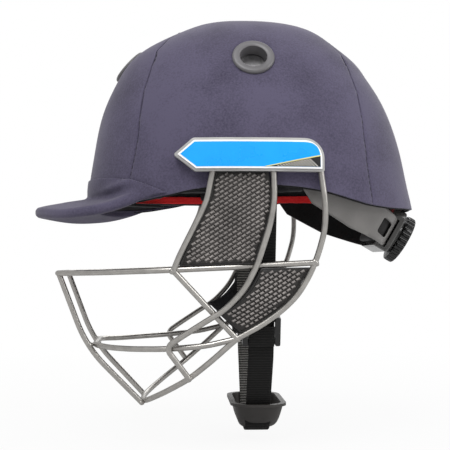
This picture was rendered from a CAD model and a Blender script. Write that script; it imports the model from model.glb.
import math

import bmesh
import bpy
import numpy as np
from mathutils import Matrix, Vector, noise
from mathutils.bvhtree import BVHTree


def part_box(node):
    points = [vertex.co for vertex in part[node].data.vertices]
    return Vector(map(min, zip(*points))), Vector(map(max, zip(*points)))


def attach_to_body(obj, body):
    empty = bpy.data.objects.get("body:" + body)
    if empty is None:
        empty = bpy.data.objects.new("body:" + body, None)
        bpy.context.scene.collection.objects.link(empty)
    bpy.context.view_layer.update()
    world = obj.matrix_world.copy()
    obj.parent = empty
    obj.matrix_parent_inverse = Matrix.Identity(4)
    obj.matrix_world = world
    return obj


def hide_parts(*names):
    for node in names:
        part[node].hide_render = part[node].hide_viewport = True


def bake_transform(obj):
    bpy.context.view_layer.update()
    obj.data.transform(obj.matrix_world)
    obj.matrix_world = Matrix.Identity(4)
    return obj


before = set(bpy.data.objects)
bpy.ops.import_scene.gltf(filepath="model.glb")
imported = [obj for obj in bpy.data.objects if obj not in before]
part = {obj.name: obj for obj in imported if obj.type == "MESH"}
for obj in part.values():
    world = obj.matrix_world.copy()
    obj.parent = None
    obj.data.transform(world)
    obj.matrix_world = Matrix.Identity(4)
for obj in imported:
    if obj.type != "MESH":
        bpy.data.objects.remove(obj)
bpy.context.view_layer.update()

sides = (("left", -1), ("right", 1))
scene = bpy.context.scene

# The studio: a wide white floor just under the chin cup, a large soft lamp high on the left
# of the camera, a weaker one behind, and an even white room around.


def placed(name, data):
    """A new object in the scene from its data."""
    made = bpy.data.objects.new(name, data)
    scene.collection.objects.link(made)
    return made


camera_data = bpy.data.cameras.new("camera")
camera_data.lens = 81.6
camera_data.sensor_width = 36.0
camera = placed("camera", camera_data)
camera.location = (-0.06478, -0.84654, -0.04908)
camera.rotation_euler = (math.radians(92.13), 0, math.radians(-2.97))
scene.camera = camera
scene.view_settings.view_transform = "Standard"


def set_inputs(node, **values):
    """Sets a shader node's inputs; an underscore in a name stands for a space."""
    for name, value in values.items():
        node.inputs[name.replace("_", " ")].default_value = value


def add_node(nodes, kind, operation=None, **values):
    """Adds a shader node with its operation and its inputs' values."""
    node = nodes.new("ShaderNode" + kind)
    if operation:
        node.operation = operation
    set_inputs(node, **values)
    return node


def wire(source, output, target, entry):
    """Joins a node's output to another node's input."""
    source.id_data.links.new(source.outputs[output], target.inputs[entry])


def add_ramp(nodes, source, output, dark, light, start=0.0, end=1.0):
    """A colour ramp that is read with a node's output."""
    ramp = add_node(nodes, "ValToRGB")
    for element, place, colour in zip(ramp.color_ramp.elements, (start, end), (dark, light)):
        element.position = place
        element.color = (*colour, 1)
    wire(source, output, ramp, "Fac")
    return ramp


def add_bump(nodes, source, output, shader, strength, distance):
    """Gives a shader a relief from a node's output."""
    relief = add_node(nodes, "Bump", Strength=strength, Distance=distance)
    wire(source, output, relief, "Height")
    wire(relief, "Normal", shader, "Normal")


def add_noise(nodes, scale, detail):
    """A noise texture on the piece's own coordinates."""
    noise_node = add_node(nodes, "TexNoise", Scale=scale, Detail=detail)
    wire(add_node(nodes, "TexCoord"), "Object", noise_node, "Vector")
    return noise_node


def material_nodes(name):
    """A new material with a Principled shader, as (material, nodes, shader)."""
    made = bpy.data.materials.new(name)
    made.use_nodes = True
    nodes = made.node_tree.nodes
    return made, nodes, nodes["Principled BSDF"]


room = bpy.data.worlds.new("white_room")
scene.world = room
room.use_nodes = True
room_nodes = room.node_tree.nodes
room_sky = room_nodes["Background"]
set_inputs(room_sky, Color=(1, 1, 1, 1))
room_seen = add_node(room_nodes, "MapRange", To_Min=0.60, To_Max=1.0)
wire(add_node(room_nodes, "LightPath"), "Is Camera Ray", room_seen, "Value")
wire(room_seen, "Result", room_sky, "Strength")

for lamp_name, lamp_place, lamp_size, lamp_power in (
        ("high_left_lamp", (-0.5, -1.3, 1.7), 1.2, 30),
        ("right_lamp", (1.5, -0.9, 0.9), 1.1, 14),
        ("rear_lamp", (0.4, 1.6, 1.1), 1.4, 12)):
    lamp_data = bpy.data.lights.new(lamp_name, "AREA")
    lamp_data.shape = "DISK"
    lamp_data.size = lamp_size
    lamp_data.energy = lamp_power
    lamp = placed(lamp_name, lamp_data)
    lamp.location = lamp_place
    lamp.rotation_euler = (-Vector(lamp_place)).to_track_quat("-Z", "Y").to_euler()

bpy.ops.object.select_all(action="DESELECT")
bpy.ops.mesh.primitive_plane_add(size=12, location=(0, 0, -0.192))
floor = bpy.context.object
floor.name = "floor"
floor_material, floor_nodes, floor_shader = material_nodes("white_floor")
set_inputs(floor_shader, Base_Color=(0.58, 0.58, 0.58, 1), Roughness=0.9, Specular_IOR_Level=0.0)
floor_reach = add_node(floor_nodes, "VectorMath", "LENGTH")
floor_white = add_node(floor_nodes, "MapRange", From_Min=0.1, From_Max=0.9, To_Min=0.92)
floor_share = add_node(floor_nodes, "Math", "MULTIPLY")
floor_mix = add_node(floor_nodes, "MixShader")
wire(add_node(floor_nodes, "TexCoord"), "Object", floor_reach, 0)
wire(floor_reach, "Value", floor_white, "Value")
wire(floor_white, "Result", floor_share, 0)
wire(add_node(floor_nodes, "LightPath"), "Is Camera Ray", floor_share, 1)
wire(floor_share, "Value", floor_mix, "Fac")
wire(floor_shader, "BSDF", floor_mix, 1)
wire(add_node(floor_nodes, "Emission"), "Emission", floor_mix, 2)
wire(floor_mix, "Shader", floor_nodes["Material Output"], "Surface")
floor.data.materials.append(floor_material)

# The cloth cover: stretch polyester cut in three, a tongue up the front, a tongue up the rear and
# the crown piece from ear to ear, sewn together and pulled over the shell, then turned in at its rim.
MM = 0.001
dome_front, dome_rear, dome_half, dome_height, dome_power = 132.7, 131.8, 98.0, 150.7, 2.35
dome_levels = np.array([  # height share, then the shares of the front, rear and side reach
    (-0.13, 1.0, 1.003, 1.0), (0.0, 1.0, 0.998, 1.0), (0.12, 0.994, 0.967, 0.9967),
    (0.25, 0.971, 0.936, 0.982), (0.40, 0.941, 0.887, 0.945), (0.55, 0.887, 0.814, 0.881),
    (0.68, 0.815, 0.722, 0.794), (0.78, 0.733, 0.631, 0.697),
    (0.86, 0.604, 0.521, 0.586), (0.92, 0.469, 0.431, 0.468), (0.96, 0.369, 0.331, 0.350),
    (0.985, 0.274, 0.202, 0.231), (1.0, 0.15, 0.06, 0.11)])
rim_line = np.array([  # place along the dome, then height share of the rim there
    (-1.30, 0.08), (-1.0, 0.09), (-0.76, 0.16), (-0.524, 0.48), (-0.336, 0.80), (-0.114, 0.96), (0.10, 0.96),
    (0.344, 0.733), (0.457, 0.507), (0.57, 0.24), (0.66, 0.07), (0.80, -0.04), (1.0, 0.0), (1.2, 0.0)])
front_seam = np.array([  # shares across and up of each seam, from the rim to the crown
    (0.925, -0.03), (0.925, 0.0), (0.92, 0.35), (0.83, 0.575), (0.715, 0.745), (0.62, 0.825), (0.49, 0.90),
    (0.27, 0.975), (0.0, 1.0)])
rear_seam = np.array([
    (0.996, -0.04), (0.995, 0.0), (0.94, 0.34), (0.785, 0.605), (0.635, 0.755), (0.38, 0.90), (0.18, 0.955),
    (0.0, 0.97)])


def run_lengths(points):
    """How far along a line each of its points lies."""
    return np.concatenate([[0], np.cumsum(np.linalg.norm(np.diff(points, axis=0), axis=1))])


def even_points(line, count):
    """Points at even steps along a line, as (distances, points)."""
    run = run_lengths(line)
    even = np.linspace(0, run[-1], count)
    return even, np.stack([np.interp(even, run, line[:, k]) for k in range(line.shape[1])], axis=1)


def smooth_line(points, count):
    """Points at even steps along a smooth curve through the given ones."""
    steps = run_lengths(points)
    slope = np.gradient(points, steps, axis=0)
    dense = []
    for i, span in enumerate(np.diff(steps)):
        for t in np.linspace(0, 1, 24, endpoint=False):
            a, b = 2*t**3 - 3*t**2 + 1, -2*t**3 + 3*t**2
            c, d = (t**3 - 2*t**2 + t)*span, (t**3 - t**2)*span
            dense.append(a*points[i] + b*points[i + 1] + c*slope[i] + d*slope[i + 1])
    dense.append(points[-1])
    return even_points(np.array(dense), count)[1]


def ways_at(before, here, after):
    """Unit ways into and out of a corner."""
    return [way/np.linalg.norm(way) for way in (here - before, after - here)]


def fillet(before, here, after, radius, longest=math.inf):
    """Points round the bend at a corner."""
    into, out = ways_at(before, here, after)
    half_turn = math.acos(max(-1, min(1, into.dot(out))))/2
    tangent = min(radius*math.tan(half_turn), longest)
    start, end = here - into*tangent, here + out*tangent
    return [(1 - t)**2*start + 2*t*(1 - t)*here + t**2*end for t in np.linspace(0, 1, 9)]


def dome_sizes(z):
    """Front, rear and side reach of the dome at a height, in mm."""
    share = z/dome_height
    front, rear, half = (np.interp(share, dome_levels[:, 0], dome_levels[:, k]) for k in (1, 2, 3))
    return dome_front*front, dome_rear*rear, dome_half*half


def dome_x(y, z, toward):
    """Where the dome's surface lies ahead of or behind the middle, at a place across and a height."""
    front, rear, half = dome_sizes(z)
    share = min(1, abs(y)/half)
    return (rear - front)/2 + toward*(rear + front)/2*(1 - share**dome_power)**(1/dome_power)


rim_run = smooth_line(rim_line, 200)
rim_rise, rim_drop = 15.0, 5.6


def rim_z(x):
    """Height of the cloth's lower edge."""
    return rim_rise*np.interp(x/dome_rear, rim_run[:, 0], rim_run[:, 1]) - rim_drop


def outside(x, y, z):
    """Above zero where a point lies outside the dome."""
    front, rear, half = dome_sizes(z)
    if z > dome_height:
        return 1.0
    return (abs(x - (rear - front)/2)/((rear + front)/2))**dome_power + (abs(y)/half)**dome_power - 1


def last_inside(place_at, low, high, halvings):
    """The largest share whose place still lies inside the dome, found by halving."""
    for _ in range(halvings):
        middle = (low + high)/2
        if outside(*place_at(middle)) > 0:
            high = middle
        else:
            low = middle
    return low


seam_steps, rim_steps = 75, 12
seam_size = (80.0, 141.0)
front_run = smooth_line(front_seam*seam_size, seam_steps)
rear_run = smooth_line(rear_seam*seam_size, seam_steps)


def seam_point(run, step, side, toward):
    """A point of a seam on the dome: step 0 is at the rim and the last one on the crown."""
    y, z = run[step]
    x = dome_x(y, z, toward)
    lift = max(0.0, 1 - step/rim_steps)
    z = z + (rim_z(x) - run[0][1])*lift
    return np.array((dome_x(y, z, toward), side*y, z))


def seam_shares(columns):
    """Shares across a cover piece, with a narrow column at each seam for the groove."""
    return np.concatenate([[0, 0.004], np.linspace(0.012, 0.988, columns), [0.996, 1]])


def tongue_grid(run, toward, columns):
    """Rows of points of the front or the rear tongue, from the rim to its tip."""
    rows = []
    for step in range(len(run) - 1):
        y_edge, z_edge = run[step]
        lift = max(0.0, 1 - step/rim_steps)
        row = []
        for y in (2*seam_shares(columns) - 1)*y_edge:
            x = dome_x(y, z_edge, toward)
            z = z_edge + (rim_z(x) - run[0][1])*lift
            row.append((dome_x(y, z, toward), y, z))
        rows.append(row)
    return rows


def crown_grid(columns):
    """Rows of points of the crown piece, from the left ear over the top to the right ear."""
    rows = []
    for place in range(-seam_steps + 1, seam_steps):
        step = seam_steps - 1 - abs(place)
        side = -1 if place < 0 else 1
        start = seam_point(front_run, step, side, -1)
        end = seam_point(rear_run, step, side, 1)
        row = []
        for along in seam_shares(columns):
            x, y, z = start + (end - start)*along
            base = rim_z(x)
            over = (start[2] - rim_z(start[0]))*(1 - along) + (end[2] - rim_z(end[0]))*along
            z += (base + over - z)*max(0.0, 1 - step/rim_steps)
            reach = last_inside(lambda share: (x, y*share, base + (z - base)*share), 0.6, 3.0, 26)
            row.append((x, y*reach, base + (z - base)*reach))
        rows.append(row)
    return rows


def grid_piece(name, rows):
    """A sheet from rows of points in mm, as a new object."""
    count = len(rows[0])
    points = [Vector(p)*MM for row in rows for p in row]
    faces = [(r*count + c, r*count + c + 1, (r + 1)*count + c + 1, (r + 1)*count + c)
             for r in range(len(rows) - 1) for c in range(count - 1)]
    mesh = bpy.data.meshes.new(name)
    mesh.from_pydata(points, [], faces)
    return placed(name, mesh)


def work_on(piece):
    """Leaves this piece alone selected and active."""
    if bpy.context.object and bpy.context.object.mode != "OBJECT":
        bpy.ops.object.mode_set(mode="OBJECT")
    bpy.ops.object.select_all(action="DESELECT")
    piece.select_set(True)
    bpy.context.view_layer.objects.active = piece


def apply_modifier(piece, kind, **settings):
    """Adds a modifier with these settings and applies it."""
    work_on(piece)
    added = piece.modifiers.new(kind.lower(), kind)
    for setting, value in settings.items():
        setattr(added, setting, value)
    bpy.ops.object.modifier_apply(modifier=added.name)


def new_object(name, form):
    """A new object from a bmesh, which is freed."""
    mesh = bpy.data.meshes.new(name)
    form.to_mesh(mesh)
    form.free()
    return placed(name, mesh)


def smooth_all(piece):
    """Shades a piece smooth."""
    work_on(piece)
    bpy.ops.object.shade_smooth()


def bead(name, places, radius, closed):
    """A round bead along a line of places in metres, as a mesh."""
    curve = bpy.data.curves.new(name, "CURVE")
    curve.dimensions = "3D"
    curve.bevel_depth = radius
    curve.bevel_resolution = 3
    curve.use_fill_caps = not closed
    spline = curve.splines.new("POLY")
    spline.points.add(len(places) - 1)
    for point, place in zip(spline.points, places):
        point.co = (*place, 1)
    spline.use_cyclic_u = closed
    work_on(placed(name, curve))
    bpy.ops.object.convert(target="MESH")
    smooth_all(bpy.context.object)
    return bpy.context.object


def skin(form, rings):
    """Adds the faces between following rings of points, as pairs of a face and its corners."""
    count, made = len(rings[0]), []
    for i in range(len(rings) - 1):
        for k in range(count):
            corners = ((i, k), (i, k + 1), (i + 1, k + 1), (i + 1, k))
            made.append((form.faces.new([rings[u][v % count] for u, v in corners]), corners))
    return made


def attach(piece, material, body, replaced=None):
    """Gives a piece its material, its body and the CAD node that it stands for."""
    if len(piece.data.materials):
        piece.data.materials.clear()
    piece.data.materials.append(material)
    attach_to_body(piece, body)
    if replaced:
        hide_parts(replaced)


def node_copy(name, *nodes):
    """One new object with merged copies of the named CAD nodes' meshes."""
    form = bmesh.new()
    for node in nodes:
        form.from_mesh(part[node].data)
    bmesh.ops.remove_doubles(form, verts=form.verts, dist=2e-5)
    for face in form.faces:
        face.smooth = True
        face.material_index = 0
    return new_object(name, form)


def discard(piece):
    """Removes a helper object."""
    bpy.data.objects.remove(piece, do_unlink=True)


def middle_of(node):
    """The middle of a CAD node's box."""
    low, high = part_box(node)
    return (Vector(low) + Vector(high))/2


side_lean, front_lean = math.radians(31.0), math.radians(43.0)
vent_axes = []
for vent_node, vent_way in (("vent_ring_left", Vector((0, -math.cos(side_lean), math.sin(side_lean)))),
                            ("vent_ring_right", Vector((0, math.cos(side_lean), math.sin(side_lean)))),
                            ("vent_ring_front", Vector((-math.cos(front_lean), 0, math.sin(front_lean))))):
    vent_axes.append((middle_of(vent_node), vent_way))


def from_axis(point, centre, way):
    """How far a point lies from a line."""
    offset = point - centre
    return (offset - way*offset.dot(way)).length


restore_below, vent_clear, vent_near = 0.016, 0.0140, 0.03
seam_groove, groove_shoulder, cloth_thickness = 0.00090, 0.00012, 0.0010
panel_press, pressed_half, pressed_top, pressed_rear, pressed_front = 0.0008, 0.088, 0.024, 0.016, -0.045
rim_band_height = 1.5
hem_turns = ((0.0009, 0.0003), (0.0030, 0.0))  # how far in each turn of the hem goes, and how far down


def cloth_piece(name, rows, wrap_on, node):
    """A cover piece: wrapped on the CAD's outer face, cut for the vents, hemmed and given its thickness."""
    piece = grid_piece(name, rows)
    heights = [v.co.z for v in piece.data.vertices]
    apply_modifier(piece, "SHRINKWRAP", target=wrap_on, wrap_method="NEAREST_SURFACEPOINT")
    for v, height in zip(piece.data.vertices, heights):
        if height < restore_below:
            v.co.z = height
    form = bmesh.new()
    form.from_mesh(piece.data)
    bmesh.ops.remove_doubles(form, verts=form.verts, dist=5e-5)
    bmesh.ops.recalc_face_normals(form, faces=form.faces)
    middle = Vector((0, 0, 0.03))
    if sum(1 for f in form.faces if f.normal.dot(f.calc_center_median() - middle) < 0) > len(form.faces)/2:
        bmesh.ops.reverse_faces(form, faces=form.faces)
    near_vents = []
    for face in form.faces:
        spot = face.calc_center_median()
        if any(from_axis(spot, c, w) < vent_clear and (spot - c).length < vent_near for c, w in vent_axes):
            near_vents.append(face)
    bmesh.ops.delete(form, geom=near_vents, context="FACES")
    form.normal_update()
    edge_points = {v for e in form.edges if e.is_boundary for v in e.verts}
    by_rim = {v for v in edge_points if v.co.z/MM < rim_z(v.co.x/MM) + rim_band_height}
    seams = edge_points - by_rim
    near_seams = {e.other_vert(v) for v in seams for e in v.link_edges} - seams
    for v in seams:
        v.co -= v.normal*seam_groove
    for v in near_seams:
        v.co -= v.normal*groove_shoulder
    for v in form.verts:
        if abs(v.co.y) > pressed_half and v.co.z < pressed_top and pressed_front < v.co.x < pressed_rear:
            v.co.y *= 1 - panel_press/abs(v.co.y)
    rim_edges = [e for e in form.edges if e.is_boundary and all(v in by_rim for v in e.verts)]
    inward = {v: -Vector((v.normal.x, v.normal.y, 0)).normalized() for v in by_rim}
    for reach, drop in hem_turns:
        made = bmesh.ops.extrude_edge_only(form, edges=rim_edges)["geom"]
        old = {}
        for v in (g for g in made if isinstance(g, bmesh.types.BMVert)):
            source = next(e.other_vert(v) for e in v.link_edges if e.other_vert(v) in inward)
            v.co = source.co + inward[source]*reach - Vector((0, 0, drop))
            old[v] = inward[source]
        inward = old
        rim_edges = [e for e in made if isinstance(e, bmesh.types.BMEdge) and all(v in old for v in e.verts)]
    for face in form.faces:
        face.smooth = True
    form.to_mesh(piece.data)
    form.free()
    apply_modifier(piece, "SOLIDIFY", thickness=cloth_thickness, offset=-1.0)
    work_on(piece)
    bpy.ops.object.shade_smooth_by_angle(angle=math.radians(50))
    attach(piece, cover_cloth, "helmet", node)


wave_period = 0.314


def cloth_material(name, colour, tint, weave, bump, sheen):
    """Woven cloth: crossed threads at the weave's pitch, a faint mottle and a soft sheen."""
    made, nodes, shader = material_nodes(name)
    place = add_node(nodes, "TexCoord")
    threads = add_node(nodes, "Math", "ADD")
    for entry, turn in enumerate((0.0, math.pi/2)):
        mapping = add_node(nodes, "Mapping", Rotation=(turn, 0.35, turn))
        wave = add_node(nodes, "TexWave", Scale=wave_period/weave, Distortion=1.4, Detail=1.0,
                        Detail_Scale=2.0)
        wire(place, "Object", mapping, "Vector")
        wire(mapping, "Vector", wave, "Vector")
        wire(wave, "Fac", threads, entry)
    fuzz = add_noise(nodes, 700.0, 3.0)
    height = add_node(nodes, "Math", "ADD")
    wire(threads, "Value", height, 0)
    wire(fuzz, "Fac", height, 1)
    add_bump(nodes, height, "Value", shader, bump, 0.0002)
    mixed = add_node(nodes, "Math", "MULTIPLY_ADD")
    mixed.inputs[1].default_value = 0.75
    wire(fuzz, "Fac", mixed, 0)
    wire(add_noise(nodes, 22.0, 4.0), "Fac", mixed, 2)
    wire(add_ramp(nodes, mixed, "Value", colour, tint, 0.55, 1.0), "Color", shader, "Base Color")
    set_inputs(shader, Roughness=0.88, Specular_IOR_Level=0.25, Sheen_Weight=sheen, Sheen_Roughness=0.45)
    return made


cover_cloth = cloth_material("navy_cover_cloth", (0.044, 0.038, 0.066), (0.088, 0.078, 0.128), 0.0006,
                             0.30, 0.20)
wrap_form = node_copy("wrap_form", "cover_front", "cover_rear", "cover_crown")
wrap_mesh = bmesh.new()
wrap_mesh.from_mesh(wrap_form.data)
wrap_centre = Vector((0, 0, 0.02))
inner_faces = [f for f in wrap_mesh.faces
               if f.normal.dot((f.calc_center_median() - wrap_centre).normalized()) < 0.3]
bmesh.ops.delete(wrap_mesh, geom=inner_faces, context="FACES")
wrap_mesh.to_mesh(wrap_form.data)
wrap_mesh.free()
for cloth_node, cloth_rows, cloth_cut, cloth_area in (
        ("cover_front", tongue_grid(front_run, -1, 56), (0.19, 0.21), 0.026),
        ("cover_rear", tongue_grid(rear_run, 1, 56), (0.20, 0.21), 0.025),
        ("cover_crown", crown_grid(84), (0.23, 0.47), 0.064)):
    cloth_piece(cloth_node + "_cloth", cloth_rows, wrap_form, cloth_node)
discard(wrap_form)

# The edging: a narrow black rubber bead pressed on the shell's rim, which shows as a dark line just
# below the cloth's edge, from one temple round the nape to the other.
edging_rubber = cloth_material("black_edging", (0.006, 0.006, 0.007), (0.014, 0.014, 0.015), 0.0010, 0.3,
                               0.02)
edging_run = []
edging_inset, edging_drop, edging_radius = 1.7, 0.35, 0.0009
edging_span = 0.80*math.pi
for angle in np.linspace(-edging_span, edging_span, 181):
    way_x, way_y = math.cos(angle), math.sin(angle)
    edge = last_inside(lambda far: (far*way_x, far*way_y, max(0.0, rim_z(far*way_x))), 60.0, 160.0, 30)
    reach = edge - edging_inset
    edging_run.append((reach*way_x*MM, reach*way_y*MM, (rim_z(edge*way_x) - edging_drop)*MM))
attach(bead("rim_edging", edging_run, edging_radius, False), edging_rubber, "helmet")

# The stitches: polyester thread a shade darker than the cloth, in a row on the crown piece's side of
# each seam, as a lockstitch of about seven to the inch.
stitch_material, stitch_nodes, stitch_shader = material_nodes("seam_thread")
stitch_twist = add_node(stitch_nodes, "TexNoise", Scale=2500.0)
stitch_tone = add_ramp(stitch_nodes, stitch_twist, "Fac", (0.008, 0.007, 0.012), (0.022, 0.020, 0.034))
wire(stitch_tone, "Color", stitch_shader, "Base Color")
set_inputs(stitch_shader, Roughness=0.8)
stitch_pitch, stitch_rise, stitch_inset = 0.0042, 0.00012, 0.9
stitch_rings = ((-0.0014, 0.00010), (-0.0009, 0.00036), (0.0009, 0.00036), (0.0014, 0.00010))
hexagon = ((1, 0), (0.5, 0.87), (-0.5, 0.87), (-1, 0), (-0.5, -0.87), (0.5, -0.87))


def stitch_row(form, run, toward):
    """Adds a row of stitches beside a seam, from the left rim over the crown to the right rim."""
    line = []
    for place in range(-seam_steps + 1, seam_steps):
        step = seam_steps - 1 - abs(place)
        if step > 1:
            x, y, z = seam_point(run, step, -1 if place < 0 else 1, toward)
            line.append(Vector((x - toward*stitch_inset, y, z))*MM)
    run_length = 0.0
    for a, b in zip(line, line[1:]):
        run_length += (b - a).length
        if run_length < stitch_pitch:
            continue
        run_length = 0.0
        found, normal = crown_tree.find_nearest(a)[:2]
        if found is None:
            continue
        way = (b - a).normalized()
        across = normal.cross(way).normalized()
        rise = normal if normal.dot(found - Vector((0, 0, 0.02))) > 0 else -normal
        middle = found + rise*stitch_rise
        rings = [[form.verts.new(middle + way*along + across*thick*c + rise*thick*s) for c, s in hexagon]
                 for along, thick in stitch_rings]
        skin(form, rings)
        form.faces.new(list(reversed(rings[0])))
        form.faces.new(rings[-1])


crown_tree = BVHTree.FromObject(bpy.data.objects["cover_crown_cloth"], bpy.context.evaluated_depsgraph_get())
stitch_form = bmesh.new()
stitch_row(stitch_form, front_run, -1)
stitch_row(stitch_form, rear_run, 1)
attach(new_object("seam_stitches", stitch_form), stitch_material, "helmet")

# The peak: a board inside a padded sleeve of the same cloth, whose collar is pulled up over the
# front of the shell, with soft folds at the temples where it turns from the peak to the collar.


def outer_shell_only(piece):
    """Keeps the largest loose part of a piece."""
    work_on(piece)
    bpy.ops.object.mode_set(mode="EDIT")
    bpy.ops.mesh.select_all(action="SELECT")
    bpy.ops.mesh.separate(type="LOOSE")
    bpy.ops.object.mode_set(mode="OBJECT")
    *smaller, largest = sorted(bpy.context.selected_objects, key=lambda o: o.dimensions.length)
    for loose in smaller:
        discard(loose)
    return largest


def relax(piece, iterations, factor=0.5, **settings):
    """Evens out a piece's skin."""
    apply_modifier(piece, "SMOOTH", factor=factor, iterations=iterations, **settings)


def remesh(piece, voxel):
    """Gives a closed piece an even skin of quads."""
    apply_modifier(piece, "REMESH", mode="VOXEL", voxel_size=voxel, use_smooth_shade=True)


def relieve(piece, height_at):
    """Moves each vertex of a piece along its normal and shades the piece smooth."""
    form = bmesh.new()
    form.from_mesh(piece.data)
    form.normal_update()
    for vertex in form.verts:
        vertex.co += vertex.normal*height_at(vertex)
    form.to_mesh(piece.data)
    form.free()
    smooth_all(piece)


def from_run(x, z, ax, az, bx, bz):
    """Nearest share along a straight run seen from the side, and the gap to it there."""
    run = (bx - ax)**2 + (bz - az)**2
    t = min(1, max(0, ((x - ax)*(bx - ax) + (z - az)*(bz - az))/run)) if run else 0
    return t, math.hypot(x - ax - t*(bx - ax), z - az - t*(bz - az))


def ridge(x, z, start, end, width):
    """Height share of a soft fold that runs between two places seen from the side."""
    t, gap = from_run(x, z, *start, *end)
    return math.exp(-(gap/width)**2)*math.sin(math.pi*min(0.95, max(0.05, t)))


temple_folds = (  # height, start, end and width of each fold seen from the side, in mm
    (1.7, (-122, 5), (-92, 14), 2.8), (-1.3, (-132, 1), (-98, 6), 2.6),
    (0.9, (-112, -3), (-88, 5), 2.4), (-0.8, (-112, 13), (-86, 19), 2.0))
fold_half, ripple_height = 45, 0.35


def peak_relief(vertex):
    """Height of the folds at the temples and of the sleeve's ripples."""
    x, y, z = vertex.co/MM
    if outside(x, y, min(z, 149.0)) < 0.01 or vertex.normal.z < -0.5:
        return 0.0
    fold = sum(height*ridge(x, z, start, end, width) for height, start, end, width in temple_folds)
    ripple = noise.noise(Vector((x*0.05, y*0.045, z*0.10)))*ripple_height
    return (fold*min(1, abs(y)/fold_half) + ripple)*MM


peak_sleeve = outer_shell_only(node_copy("peak_sleeve", "peak_cover"))
peak_sleeve.name = "peak_sleeve"
remesh(peak_sleeve, 0.0008)
turn_near, turn_far, turn_fade = 1.6, 11, 5  # how far the turn to the collar stands off the dome, in mm
hem_front, hem_height, hem_fade = -122, 5, 8
turn_group = peak_sleeve.vertex_groups.new(name="turn")
for vertex in peak_sleeve.data.vertices:
    x, y, z = vertex.co/MM
    front, rear, half = dome_sizes(max(-15.0, min(140.0, z)))
    along_share, across_share = abs(x - (rear - front)/2)/((rear + front)/2), abs(y)/half
    stand = ((along_share**dome_power + across_share**dome_power)**(1/dome_power) - 1)*105
    if turn_near < stand < turn_far and vertex.normal.z > -0.35:
        turn_group.add([vertex.index], min(1.0, (turn_far - stand)/turn_fade), "REPLACE")
relax(peak_sleeve, 26, 0.6, vertex_group="turn")
hem_group = peak_sleeve.vertex_groups.new(name="hem")
for vertex in peak_sleeve.data.vertices:
    x, y, z = vertex.co/MM
    if x > hem_front and z < rim_z(x) + hem_height:
        hem_group.add([vertex.index], min(1.0, (x - hem_front)/hem_fade), "REPLACE")
relax(peak_sleeve, 14, vertex_group="hem")
relax(peak_sleeve, 3)
relieve(peak_sleeve, peak_relief)
attach(peak_sleeve, cover_cloth, "helmet", "peak_cover")

# The liner: black foam faced with knitted cloth, glued into the shell; its lower edge hangs just
# below the cover's and carries a red binding tape all round the inside.
liner_cloth = cloth_material("black_liner_cloth", (0.010, 0.010, 0.011), (0.022, 0.022, 0.024), 0.0016, 0.5,
                             0.08)
liner_foam = node_copy("liner_foam", "liner")
remesh(liner_foam, 0.0020)
relax(liner_foam, 2)
smooth_all(liner_foam)
attach(liner_foam, liner_cloth, "helmet", "liner")


def tape_relief(vertex):
    """Height of the binding tape's puckers."""
    angle = math.atan2(vertex.co.y, vertex.co.x)
    pucker = noise.noise(Vector((math.cos(angle)*26, math.sin(angle)*26, vertex.co.z*90)))
    return pucker*0.00025 - 0.00006


tape_material = cloth_material("red_binding_tape", (0.85, 0.016, 0.022), (1.0, 0.040, 0.040), 0.0009, 0.4,
                               0.15)
rim_tape = node_copy("rim_tape", "rim_band")
remesh(rim_tape, 0.0005)
relax(rim_tape, 3)
relieve(rim_tape, tape_relief)
attach(rim_tape, tape_material, "helmet", "rim_band")

# The comfort pads: soft foam in brushed black cloth, held inside the liner at the brow, the sides
# and the crown, on the nape cradle, and behind the ear mesh along the jaw.
pad_cloth = cloth_material("brushed_pad_cloth", (0.009, 0.009, 0.010), (0.026, 0.026, 0.028), 0.0013, 0.5,
                           0.14)
pad_pressure, swell_cap = 1.2, 0.0007


def pad_piece(node, body, voxel):
    """A pad: the CAD's solid, drawn in a little, puffed by its foam, and smoothed."""
    piece = node_copy(node + "_foam", node)
    remesh(piece, voxel)
    apply_modifier(piece, "DISPLACE", strength=-0.0005, mid_level=0.0)
    relax(piece, 3)
    before = np.array([v.co for v in piece.data.vertices])
    work_on(piece)
    swell = piece.modifiers.new("swell", "CLOTH")
    swell.settings.use_pressure = True
    swell.settings.uniform_pressure_force = pad_pressure
    swell.settings.effector_weights.gravity = 0.0
    for frame_step in range(1, 15):
        scene.frame_set(frame_step)
    bpy.ops.object.modifier_apply(modifier="swell")
    scene.frame_set(1)
    move = np.array([v.co for v in piece.data.vertices]) - before
    reach = np.linalg.norm(move, axis=1, keepdims=True)
    after = before + move*np.minimum(1, swell_cap/np.maximum(reach, 1e-9))
    piece.data.vertices.foreach_set("co", after.astype(np.float32).ravel())
    piece.data.update()
    apply_modifier(piece, "SUBSURF", levels=1, render_levels=1)
    smooth_all(piece)
    attach(piece, pad_cloth, body, node)


for pad_node, pad_body, pad_voxel in (
        ("brow_pad", "helmet", 0.0024), ("side_pad_left", "helmet", 0.0024),
        ("side_pad_right", "helmet", 0.0024), ("crown_pad", "helmet", 0.0026),
        ("jaw_pad_left", "helmet", 0.0018), ("jaw_pad_right", "helmet", 0.0018),
        ("nape_pad", "cradle", 0.0020)):
    pad_piece(pad_node, pad_body, pad_voxel)

# The vents: satin grey moulded rings pressed through cloth and shell, each with a piece of dark
# open foam crumpled behind its bore.


def mottle_surface(nodes, shader, mottle, colour, shades, places, roughness, spread):
    """Varies a shader's colour and roughness with a mottle."""
    dark, light = ([c*shade for c in colour] for shade in shades)
    wire(add_ramp(nodes, mottle, "Fac", dark, light, *places), "Color", shader, "Base Color")
    wear = add_node(nodes, "MapRange", To_Min=roughness + spread[0], To_Max=roughness + spread[1])
    wire(mottle, "Fac", wear, "Value")
    wire(wear, "Result", shader, "Roughness")


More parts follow.
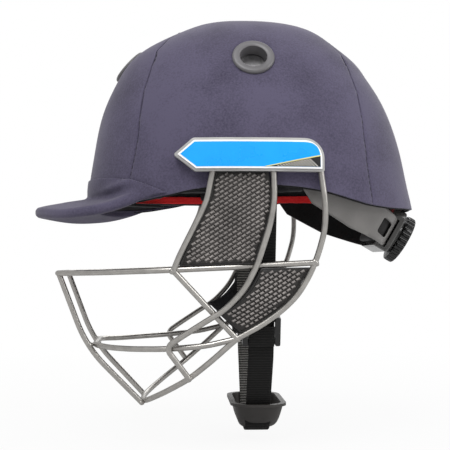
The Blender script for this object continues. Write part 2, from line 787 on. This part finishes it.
def plastic_material(name, colour, roughness, grain, bump, colour_spread=0.12):
    """Moulded plastic: a fine moulded grain, and a faint change of colour from place to place."""
    made, nodes, shader = material_nodes(name)
    add_bump(nodes, add_noise(nodes, 1/grain, 3.0), "Fac", shader, bump, 0.0001)
    mottle_surface(nodes, shader, add_noise(nodes, 45.0, 5.0), colour, (1 - colour_spread, 1 + colour_spread),
                   (0.35, 0.68), roughness, (-0.07, 0.07))
    return made


def dress(nodes, material):
    """Gives CAD nodes a material."""
    for node in nodes:
        held = part[node]
        work_on(held)
        held.data.materials.clear()
        held.data.materials.append(material)


vent_plastic = plastic_material("vent_grey_plastic", (0.120, 0.116, 0.122), 0.40, 0.0006, 0.25)
dress(("vent_ring_left", "vent_ring_right", "vent_ring_front"), vent_plastic)

vent_foam = plastic_material("vent_dark_foam", (0.260, 0.255, 0.262), 0.75, 0.0004, 0.9, 0.80)
foam_radius, foam_depth, foam_thickness, ring_count, count = 0.0118, 0.0088, 0.0018, 12, 48
crumples = ((380, 0.0022), (1000, 0.0011))  # how fine and how high each size of crumple is
foam_lean, foam_sink, edge_ring = 0.42, 0.0008, 10.6
foam_form = bmesh.new()
for centre, way in vent_axes:
    side_way = Vector((0, 0, 1)).cross(way).normalized()
    up_way = way.cross(side_way)
    base = centre - way*foam_depth
    rings = []
    for ring in range(ring_count + 1):
        radius = foam_radius*ring/ring_count
        row = []
        for k in range(count):
            angle = 2*math.pi*k/count
            spot = side_way*math.cos(angle)*radius + up_way*math.sin(angle)*radius
            bump = sum(noise.noise(spot*fineness)*height for fineness, height in crumples)
            bump -= spot.dot(up_way)*foam_lean + foam_sink
            fade = min(1, max(0, (edge_ring - ring)/2))
            row.append(foam_form.verts.new(base + spot + way*(bump*fade)))
        rings.append(row)
    rings.append([foam_form.verts.new(v.co - way*foam_thickness) for v in rings[-1]])
    skin(foam_form, rings)
    foam_form.faces.new(rings[-1])
bmesh.ops.remove_doubles(foam_form, verts=foam_form.verts, dist=1e-6)
bmesh.ops.recalc_face_normals(foam_form, faces=foam_form.faces)
vent_screens = new_object("vent_foam_screens", foam_form)
smooth_all(vent_screens)
attach(vent_screens, vent_foam, "helmet", "vent_screens")

# The face guard: mild steel wire, bent and spot-welded at each joint, then plated to a satin warm
# grey; the plating is a little rubbed along the bends and pooled at the welds.


def steel_material(name, colour, roughness, streak):
    """Satin plated steel with drawn streaks and a light mottle."""
    made, nodes, shader = material_nodes(name)
    mottle_surface(nodes, shader, add_noise(nodes, 180.0, 6.0), colour, (0.90, 1.08), (0.3, 0.7), roughness,
                   (-0.03, 0.05))
    add_bump(nodes, add_noise(nodes, 2600.0, 2.0), "Fac", shader, streak, 0.00006)
    set_inputs(shader, Metallic=0.9)
    return made


guard_steel = steel_material("guard_satin_steel", (0.43, 0.415, 0.392), 0.33, 0.03)
guard_nodes = [n for n in part if n.startswith("guard_") and n not in ("guard_screws", "guard_nuts")]
dress(guard_nodes + ["clamp_plate_left", "clamp_plate_right"], guard_steel)
fastener_steel = steel_material("bright_fastener_steel", (0.42, 0.42, 0.41), 0.34, 0.15)
dress(("guard_screws", "guard_nuts", "band_rivets", "strap_rivets", "dial_screw"), fastener_steel)

guard_reach, guard_half, guard_drop = 155.0, 100.0, 160.0
guard_size = np.array((guard_reach, guard_half, guard_drop))
weld_places = (  # reach, half width and drop shares of each weld, then the way its bead runs
    ((0.265, 0.972, -0.305), (0.6, 0.1, -0.8)), ((-0.412, 0.925, -0.347), (1, 0, 0)),
    ((-0.108, 0.878, -0.659), (0.8, 0, -0.5)), ((-0.335, 0.797, -0.849), (0.6, 0.2, 0.7)),
    ((-0.992, 0.375, -0.357), (0, 1, 0)), ((-0.572, 0.275, -1.0), (0.3, 0.9, 0)),
    ((-0.830, 0.352, -0.710), (0, 1, 0)))
weld_radius, weld_stretch, weld_roughness = 0.00225, 1.45, 0.10
weld_form = bmesh.new()
for (reach_share, half_share, drop_share), bead_way in weld_places:
    for side in (-1, 1):
        centre = Vector((guard_reach*reach_share, side*guard_half*half_share, guard_drop*drop_share))*MM
        bead_axis = Vector((bead_way[0], -side*bead_way[1], bead_way[2])).normalized()
        turn = bead_axis.to_track_quat("X", "Z").to_matrix().to_4x4()
        blob = bmesh.ops.create_icosphere(weld_form, subdivisions=3, radius=weld_radius, matrix=Matrix())
        for vertex in blob["verts"]:
            rough = 1 + weld_roughness*noise.noise(vertex.co*900 + Vector((side*3, half_share*40, 0)))
            place = vertex.co*rough
            place.x *= weld_stretch
            vertex.co = centre + turn @ place
guard_welds = new_object("guard_welds", weld_form)
smooth_all(guard_welds)
attach(guard_welds, guard_steel, "helmet")

# The ear mesh: dark grey moulded panels between the bars, with rows of small square studs on both
# faces and a plain rounded black edge.
mesh_base = plastic_material("mesh_dark_base", (0.016, 0.014, 0.013), 0.55, 0.0005, 0.3, 0.25)
mesh_stud = plastic_material("mesh_stud_grey", (0.062, 0.056, 0.053), 0.34, 0.0005, 0.3, 0.30)
mesh_rub = plastic_material("mesh_stud_rubbed", (0.240, 0.222, 0.212), 0.34, 0.0005, 0.3, 0.30)
mesh_edge = plastic_material("mesh_black_edge", (0.012, 0.011, 0.011), 0.45, 0.0005, 0.2, 0.25)
upper_front = np.array([(-0.205, 0.985, 0.108), (-0.234, 0.98, -0.018), (-0.306, 0.96, -0.17),
                        (-0.345, 0.943, -0.255), (-0.372, 0.932, -0.315)])
upper_rear = np.array([(0.032, 1.0, 0.108), (0.045, 1.0, -0.018), (0.023, 1.0, -0.133),
                       (-0.012, 0.998, -0.24), (-0.032, 0.996, -0.304)])
lower_front = np.array([(0.008, 0.995, -0.340), (-0.042, 0.985, -0.43), (-0.125, 0.955, -0.512),
                        (-0.178, 0.935, -0.541)])
lower_rear = np.array([(0.236, 0.965, -0.333), (0.212, 0.955, -0.3625), (0.155, 0.935, -0.449),
                       (0.084, 0.91, -0.518), (-0.012, 0.893, -0.582), (-0.085, 0.885, -0.622)])


def side_outline(front, rear):
    """The panel's outline as points in mm: down its front edge and back up its rear one."""
    down = smooth_line(front*guard_size, 24)
    up = smooth_line(rear*guard_size, 24)[::-1]
    return np.concatenate([down, up])


def edge_distance(x, z, outline):
    """How far a place seen from the side lies inside the outline, and below zero outside it."""
    inside, nearest = False, 1e9
    for (ax, _, az), (bx, _, bz) in zip(outline, np.roll(outline, -1, axis=0)):
        if (az > z) != (bz > z) and x < (bx - ax)*(z - az)/(bz - az) + ax:
            inside = not inside
        nearest = min(nearest, from_run(x, z, ax, az, bx, bz)[1])
    return nearest if inside else -nearest


stud_tilt = math.radians(33)
along_way, row_way = (math.cos(stud_tilt), math.sin(stud_tilt)), (-math.sin(stud_tilt), math.cos(stud_tilt))
stud_pitch, row_pitch, row_reach, plain_border = 4.0, 3.0, 44, 0.9
smallest_stud, growth_reach = 0.45, 4  # studs near the border are smaller
beyond, within = 0.130, 0.050  # places across that lie outside and inside both panels
edge_inset, edge_radius = 0.0007, 0.0012
stud_rings = ((1.88, 1.34, 0.0, -0.15), (1.76, 1.20, 0.0, 0.30), (1.15, 0.36, 0.30, 1.15))


def add_stud(form, found, normal, size):
    """A stud with a slanting top: half length, half width, lead and rise of each of its rings, in mm."""
    way = Vector((along_way[0], 0, along_way[1]))
    way = (way - normal*way.dot(normal)).normalized()
    across = normal.cross(way)
    rings = []
    for long_half, short_half, lead, rise in stud_rings:
        rings.append([form.verts.new(
            found + (way*long_half*size*i + across*(short_half*j + lead)*size + normal*rise)*MM)
            for i, j in ((-1, -1), (1, -1), (1, 1), (-1, 1))])
    for facet, corners in skin(form, rings):
        facet.material_index = int(corners[0][0] == 1 and facet.calc_center_median().z > found.z)
    form.faces.new(rings[-1]).material_index = 1
    form.faces.new(list(reversed(rings[0])))


def mesh_panel(node, outline, side, stud_share):
    """The studs and the edge of one panel, seated on the CAD's panel."""
    panel = node_copy(node + "_base", node)
    tree = BVHTree.FromObject(panel, bpy.context.evaluated_depsgraph_get())
    attach(panel, mesh_base, "helmet", node)
    low_x, high_x = outline[:, 0].min(), outline[:, 0].max()
    low_z, high_z = outline[:, 2].min(), outline[:, 2].max()
    form = bmesh.new()
    for row in range(-row_reach, row_reach):
        for place in range(-row_reach, row_reach):
            a, b = (place + 0.5*(row % 2))*stud_pitch, row*row_pitch
            x = (low_x + high_x)/2 + a*along_way[0] + b*row_way[0]
            z = (low_z + high_z)/2 + a*along_way[1] + b*row_way[1]
            inset = edge_distance(x, z, outline) if low_x < x < high_x and low_z < z < high_z else 0
            if inset < plain_border:
                continue
            size = stud_share*min(1.0, smallest_stud + inset/growth_reach)
            for outward in (1, -1):
                start = Vector((x*MM, side*(beyond if outward > 0 else within), z*MM))
                found, normal = tree.ray_cast(start, Vector((0, -side*outward, 0)))[:2]
                if found is not None:
                    add_stud(form, found, -normal if normal.y*side*outward < 0 else normal, size)
    bmesh.ops.recalc_face_normals(form, faces=form.faces)
    studs = new_object(node + "_studs", form)
    attach(studs, mesh_stud, "helmet")
    studs.data.materials.append(mesh_rub)
    ring = outline*(1, side, 1)*MM
    centre = ring.mean(axis=0)
    places = []
    for spot in ring:
        pull = np.array((centre[0] - spot[0], 0, centre[2] - spot[2]))
        places.append(spot - pull/np.linalg.norm(pull)*edge_inset)
    attach(bead(node + "_edge", places, edge_radius, True), mesh_edge, "helmet")


for panel_node, front_edge, rear_edge, stud_share in (("ear_mesh_upper", upper_front, upper_rear, 1.05),
                                                      ("ear_mesh_lower", lower_front, lower_rear, 0.92)):
    for side_name, side in sides:
        mesh_panel(f"{panel_node}_{side_name}", side_outline(front_edge, rear_edge), side, stud_share)

# The side plates: light grey moulded caps over the bars' tops, screwed to the shell, each with a
# blue label inside a white border, and a dark wedge of slanting stripes at its rear lower corner.
plate_plastic = plastic_material("plate_grey_plastic", (0.40, 0.395, 0.39), 0.38, 0.0006, 0.2)
dress(("side_plate_left", "side_plate_right"), plate_plastic)
label_white, label_blue, label_dark, label_pale, label_yellow = (
    plastic_material(f"label_{name}", colour, roughness, 0.0008, 0.08, spread)
    for name, colour, roughness, spread in (
        ("white_print", (0.93, 0.93, 0.93), 0.30, 0.02), ("blue_print", (0.0, 0.355, 0.92), 0.28, 0.05),
        ("dark_print", (0.012, 0.012, 0.012), 0.32, 0.1), ("pale_stripe", (0.80, 0.77, 0.71), 0.32, 0.05),
        ("yellow_line", (0.80, 0.74, 0.28), 0.32, 0.05)))
dress(("badge_left", "badge_right"), label_white)
plate_outline = [  # each corner's place along and up, in mm, and its radius
    (-64.0, 30.8, 0.8), (-49.6, 43.0, 3.4), (47.5, 43.0, 15.0), (47.5, 18.2, 1.2), (-48.0, 18.2, 2.6)]


def rounded_outline(corners, inset):
    """Points round an outline whose corners carry radii, all drawn in by the inset, in mm."""
    count = len(corners)
    moved = []
    for i in range(count):
        p = [np.array(corners[(i + k) % count][:2]) for k in (-1, 0, 1)]
        into, out = ways_at(*p)
        n_in, n_out = np.array((into[1], -into[0])), np.array((out[1], -out[0]))
        bisector = n_in + n_out
        moved.append((p[1] + bisector*inset/(1 + n_in.dot(n_out)), max(0.3, corners[i][2] - inset)))
    points = []
    for i, (here, radius) in enumerate(moved):
        points.extend(fillet(moved[i - 1][0], here, moved[(i + 1) % count][0], radius))
    return points


def label_layer(name, side, outline, rise, material):
    """A printed field on a badge: its filled outline, laid on the badge's face as a thin film."""
    form = bmesh.new()
    ring = [form.verts.new((x*MM, side*beyond, z*MM)) for x, z in outline]
    form.faces.new(ring)
    bmesh.ops.triangulate(form, faces=form.faces)
    for _ in range(3):
        long_edges = [e for e in form.edges if e.calc_length() > longest_edge]
        if not long_edges:
            break
        bmesh.ops.subdivide_edges(form, edges=long_edges, cuts=2)
        bmesh.ops.triangulate(form, faces=form.faces)
    tree = badge_trees[side]
    for vertex in form.verts:
        found = tree.ray_cast(vertex.co, Vector((0, -side, 0)))[0]
        if found is None:
            found = tree.find_nearest(vertex.co + Vector((0, -side*edge_fall, 0)))[0]
        vertex.co = found + Vector((0, side*rise, 0))
    for face in form.faces:
        if face.normal.y*side < 0:
            face.normal_flip()
    layer = new_object(name, form)
    apply_modifier(layer, "SOLIDIFY", thickness=film, offset=1.0)
    attach(layer, material, "helmet")


badge_trees = {}
film, top_film, border = 0.00016, 0.00030, 3.2
longest_edge, edge_fall = 0.004, 0.025
wedge_start, wedge_end, wedge_foot, wedge_rise = 6.0, 44.2, 21.5, 8.1
stripe_pitch, stripe_width, stripe_lean = 2.4, 0.65, 0.85
stripe_count, first_stripe, stripe_foot = 13, 13.0, 21.7
for side_name, side in sides:
    badge_copy = node_copy("badge_form", f"badge_{side_name}")
    badge_trees[side] = BVHTree.FromObject(badge_copy, bpy.context.evaluated_depsgraph_get())
    label_layer(f"label_field_{side_name}", side, rounded_outline(plate_outline, border), 0.0, label_blue)
    wedge = [(wedge_start, wedge_foot), (wedge_end, wedge_foot), (wedge_end, wedge_foot + wedge_rise)]
    label_layer(f"label_wedge_{side_name}", side, wedge, film, label_dark)
    label_layer(f"label_line_{side_name}", side,
                [(5.2, wedge_foot), (wedge_end, 29.5), (wedge_end, 30.4), (2.4, wedge_foot)], top_film,
                label_yellow)
    for stripe in range(stripe_count):
        foot = first_stripe + stripe*stripe_pitch
        top = wedge_foot + (foot - wedge_start)/(wedge_end - wedge_start)*wedge_rise
        lean = stripe_lean*(top - wedge_foot)
        top = wedge_foot + (foot - lean - wedge_start)/(wedge_end - wedge_start)*wedge_rise
        label_layer(f"label_stripe_{stripe}_{side_name}", side,
                    [(foot, stripe_foot), (foot + stripe_width, stripe_foot),
                     (foot + stripe_width - lean, top - 0.3), (foot - lean, top - 0.5)], top_film, label_pale)
    discard(badge_copy)

# The band arms: flat dark grey nylon straps, riveted inside the shell at the ears; their racks run
# into the nape cradle's case, so they bend and slide as the cradle moves.
band_plastic = plastic_material("band_dark_nylon", (0.165, 0.158, 0.152), 0.40, 0.0006, 0.25)
band_facing = cloth_material("band_felt_facing", (0.008, 0.008, 0.008), (0.018, 0.017, 0.017), 0.0012, 0.5,
                             0.03)


felt_thickness, window_reach = 0.0006, 0.025


def felt_strip(name, arm, side):
    """A strip of felt on the arm's inner face, closed over the rack's window."""
    form = bmesh.new()
    form.from_mesh(arm.data)
    outer = [f for f in form.faces
             if -side*f.normal.y - 0.6*f.normal.x*(f.calc_center_median().x > 0.09) < 0.6]
    bmesh.ops.delete(form, geom=outer, context="FACES")
    form.edges.index_update()
    left_over = {e.index: e for e in form.edges if e.is_boundary}
    while left_over:
        loop = [left_over.pop(min(left_over))]
        for edge in loop:
            for v in edge.verts:
                loop.extend(e for e in v.link_edges if left_over.pop(e.index, None))
        places = [v.co for e in loop for v in e.verts]
        if max((a - places[0]).length for a in places) < window_reach:
            bmesh.ops.holes_fill(form, edges=loop, sides=0)
    bmesh.ops.triangulate(form, faces=form.faces)
    bmesh.ops.recalc_face_normals(form, faces=form.faces)
    form.normal_update()
    if sum(f.normal.y*side for f in form.faces) > 0:
        bmesh.ops.reverse_faces(form, faces=form.faces)
    strip = new_object(name, form)
    apply_modifier(strip, "SOLIDIFY", thickness=felt_thickness, offset=0.8)
    smooth_all(strip)
    strip.data.materials.append(band_facing)
    return strip


for side_name, side in sides:
    arm = node_copy(f"band_strap_{side_name}", f"band_arm_{side_name}")
    work_on(arm)
    bpy.ops.object.mode_set(mode="EDIT")
    bpy.ops.mesh.select_all(action="SELECT")
    bpy.ops.mesh.subdivide(number_cuts=1)
    bpy.ops.object.mode_set(mode="OBJECT")
    felt = felt_strip(f"band_felt_{side_name}", arm, side)
    for face in arm.data.polygons:
        face.use_smooth = False
    work_on(arm)
    bpy.ops.object.shade_smooth_by_angle(angle=math.radians(32))
    arm.data.materials.append(band_plastic)
    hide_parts(f"band_arm_{side_name}")
    for strip in (arm, felt):
        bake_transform(strip)

# The nape cradle: a glossy dark grey moulded case and its cover, which grip the back of the head,
# with the black fluted dial on their collar.
cradle_plastic = plastic_material("cradle_gloss_plastic", (0.060, 0.058, 0.056), 0.16, 0.0008, 0.12)
dress(("cradle_case", "cradle_cover"), cradle_plastic)
dial_plastic = plastic_material("dial_black_plastic", (0.008, 0.008, 0.008), 0.17, 0.0008, 0.08)
dress(("dial", "dial_pinion"), dial_plastic)

# The hard shell and the peak's board: dark moulded plastic under the cloth, which is seen only from
# below and through the vents.
shell_plastic = plastic_material("shell_dark_plastic", (0.030, 0.030, 0.034), 0.5, 0.0008, 0.2)
dress(("hard_shell", "peak_board"), shell_plastic)

# The chin strap: black woven polypropylene webbing, 20 mm wide, whose ribs are grey on its inner face;
# it is riveted at the ears, folded round the slider's bars and passed through the cup.
webbing_material, webbing_nodes, webbing_shader = material_nodes("black_webbing")
webbing_uv = add_node(webbing_nodes, "UVMap")
webbing_uv.uv_map = "run"
webbing_mix = add_node(webbing_nodes, "Math", "MULTIPLY")
webbing_ribs = add_node(webbing_nodes, "TexWave", Scale=135.0, Distortion=0.3)
webbing_warp = add_node(webbing_nodes, "TexWave", Scale=420.0)
webbing_warp.bands_direction = "Y"
for entry, wave in enumerate((webbing_ribs, webbing_warp)):
    wire(webbing_uv, "UV", wave, "Vector")
    wire(wave, "Fac", webbing_mix, entry)
add_bump(webbing_nodes, webbing_mix, "Value", webbing_shader, 0.7, 0.0005)
webbing_across = add_node(webbing_nodes, "SeparateXYZ")
wire(webbing_uv, "UV", webbing_across, "Vector")
webbing_inner = add_node(webbing_nodes, "Math", "LESS_THAN")
webbing_inner.inputs[1].default_value = 0.0202
wire(webbing_across, "Y", webbing_inner, 0)
webbing_faces = add_node(webbing_nodes, "MixRGB")
wire(webbing_inner, "Value", webbing_faces, "Fac")
for entry, dark, light in (("Color1", (0.003, 0.003, 0.003), (0.020, 0.019, 0.018)),
                           ("Color2", (0.006, 0.006, 0.006), (0.42, 0.41, 0.385))):
    wire(add_ramp(webbing_nodes, webbing_mix, "Value", dark, light), "Color", webbing_faces, entry)
wire(webbing_faces, "Color", webbing_shader, "Base Color")
set_inputs(webbing_shader, Roughness=0.8, Specular_IOR_Level=0.25, Sheen_Weight=0.03)

# Each corner of the strap's run: its place across and up, in mm, and the radius of the bend.
strap_corners = [(-90.966, 23.0, 0), (-90.966, 1.0, 18), (-62.0, -122.0, 18), (-38.3, -158.0, 10),
                 (-33.0, -169.5, 10), (-29.8, -180.0, 8.6), (-17.5, -183.4, 10), (0.0, -183.4, 0)]


def strap_run():
    """Even points along the strap's bent middle line, in mm, as (distances, points)."""
    corners = np.array(strap_corners)
    line = [corners[0, :2]]
    for before, here, after in zip(corners, corners[1:], corners[2:]):
        p0, p1, p2 = before[:2], here[:2], after[:2]
        line.extend(fillet(p0, p1, p2, here[2], 0.45*min(math.dist(p0, p1), math.dist(p1, p2))))
    line.append(corners[-1, :2])
    line = np.array(line)
    return even_points(line, int(run_lengths(line)[-1]/1.6))


webbing_section = [(-9.75, 0.40), (-9.2, 0.72), (-6, 0.76), (0, 0.78), (6, 0.76), (9.2, 0.72), (9.75, 0.40)]
webbing_section += [(-across, -thick) for across, thick in webbing_section]
strap_middle = 3.5
across_run = run_lengths(webbing_section + webbing_section[:1])


def webbing_piece(name, rings, run_at, body, node):
    """Webbing over rings of places in metres; run_at gives each corner's place on the cloth, in mm."""
    form = bmesh.new()
    run_layer = form.loops.layers.uv.new("run")
    rings = [[form.verts.new(place) for place in ring] for ring in rings]
    for face, corners in skin(form, rings):
        face.smooth = True
        for loop, (u, v) in zip(face.loops, corners):
            loop[run_layer].uv = [place*MM for place in run_at(u, v)]
    form.faces.new(list(reversed(rings[0])))
    form.faces.new(rings[-1])
    bmesh.ops.recalc_face_normals(form, faces=form.faces)
    attach(new_object(name, form), webbing_material, body, node)


for side_name, side in sides:
    lengths, line = strap_run()
    ways = np.gradient(line, axis=0)
    ways /= np.linalg.norm(ways, axis=1, keepdims=True)
    rings = [[Vector((strap_middle + a, -side*(y - wz*b), z + wy*b))*MM for a, b in webbing_section]
             for (y, z), (wy, wz) in zip(line, ways)]
    webbing_piece(f"chin_webbing_{side_name}", rings, lambda u, v: (lengths[u], across_run[v]), "chin_strap",
                  f"strap_{side_name}")

# The sliders: black moulded frames that set the strap's length, each with a fold of the webbing over
# its bar, and the soft moulded chin cup.
buckle_plastic = plastic_material("slider_black_plastic", (0.013, 0.013, 0.013), 0.33, 0.0006, 0.2)
dress(("slider_left", "slider_right"), buckle_plastic)
fold_outline = [
    (-11.2, 1.2), (-8.0, 1.9), (-4.0, 3.3), (0.0, 3.4), (3.6, 3.4), (4.4, 3.7), (4.7, 4.2), (4.3, 4.8),
    (3.6, 5.1), (3.0, 4.7), (2.4, 4.9), (1.6, 5.1), (1.0, 4.7), (0.4, 4.9), (-0.4, 5.1), (-1.0, 4.7),
    (-1.6, 4.9), (-2.4, 5.1), (-3.0, 4.7), (-3.8, 4.9), (-6.0, 4.6), (-9.0, 3.6), (-11.4, 2.7), (-11.9, 1.9)]
fold_columns = [-9.8, -9.4, -5.0, 0.0, 5.0, 9.4, 9.8]
fold_run = run_lengths(fold_outline + fold_outline[:1])
lean_across, lean_up = 0.2292, 0.9734  # the strap's way where the slider sits on it
bar_rise, end_squeeze = 3.4, 0.75
for side_name, side in sides:
    fold_centre = middle_of(f"slider_{side_name}")
    up_run = Vector((0, side*lean_across, lean_up))
    out_run = Vector((0, side*lean_up, -lean_across))
    rings = []
    for across in fold_columns:
        drawn = end_squeeze if abs(across) > 9.5 else 1.0
        rings.append([fold_centre + (Vector((across, 0, 0)) + up_run*a
                                     + out_run*(bar_rise + (b - bar_rise)*drawn))*MM
                      for a, b in fold_outline])
    webbing_piece(f"strap_fold_{side_name}", rings, lambda u, v: (fold_run[v], 30 + fold_columns[u]),
                  f"slider_{side_name}", None)
cup_plastic = plastic_material("cup_soft_plastic", (0.026, 0.023, 0.021), 0.46, 0.0007, 0.3)
dress(("chin_cup",), cup_plastic)
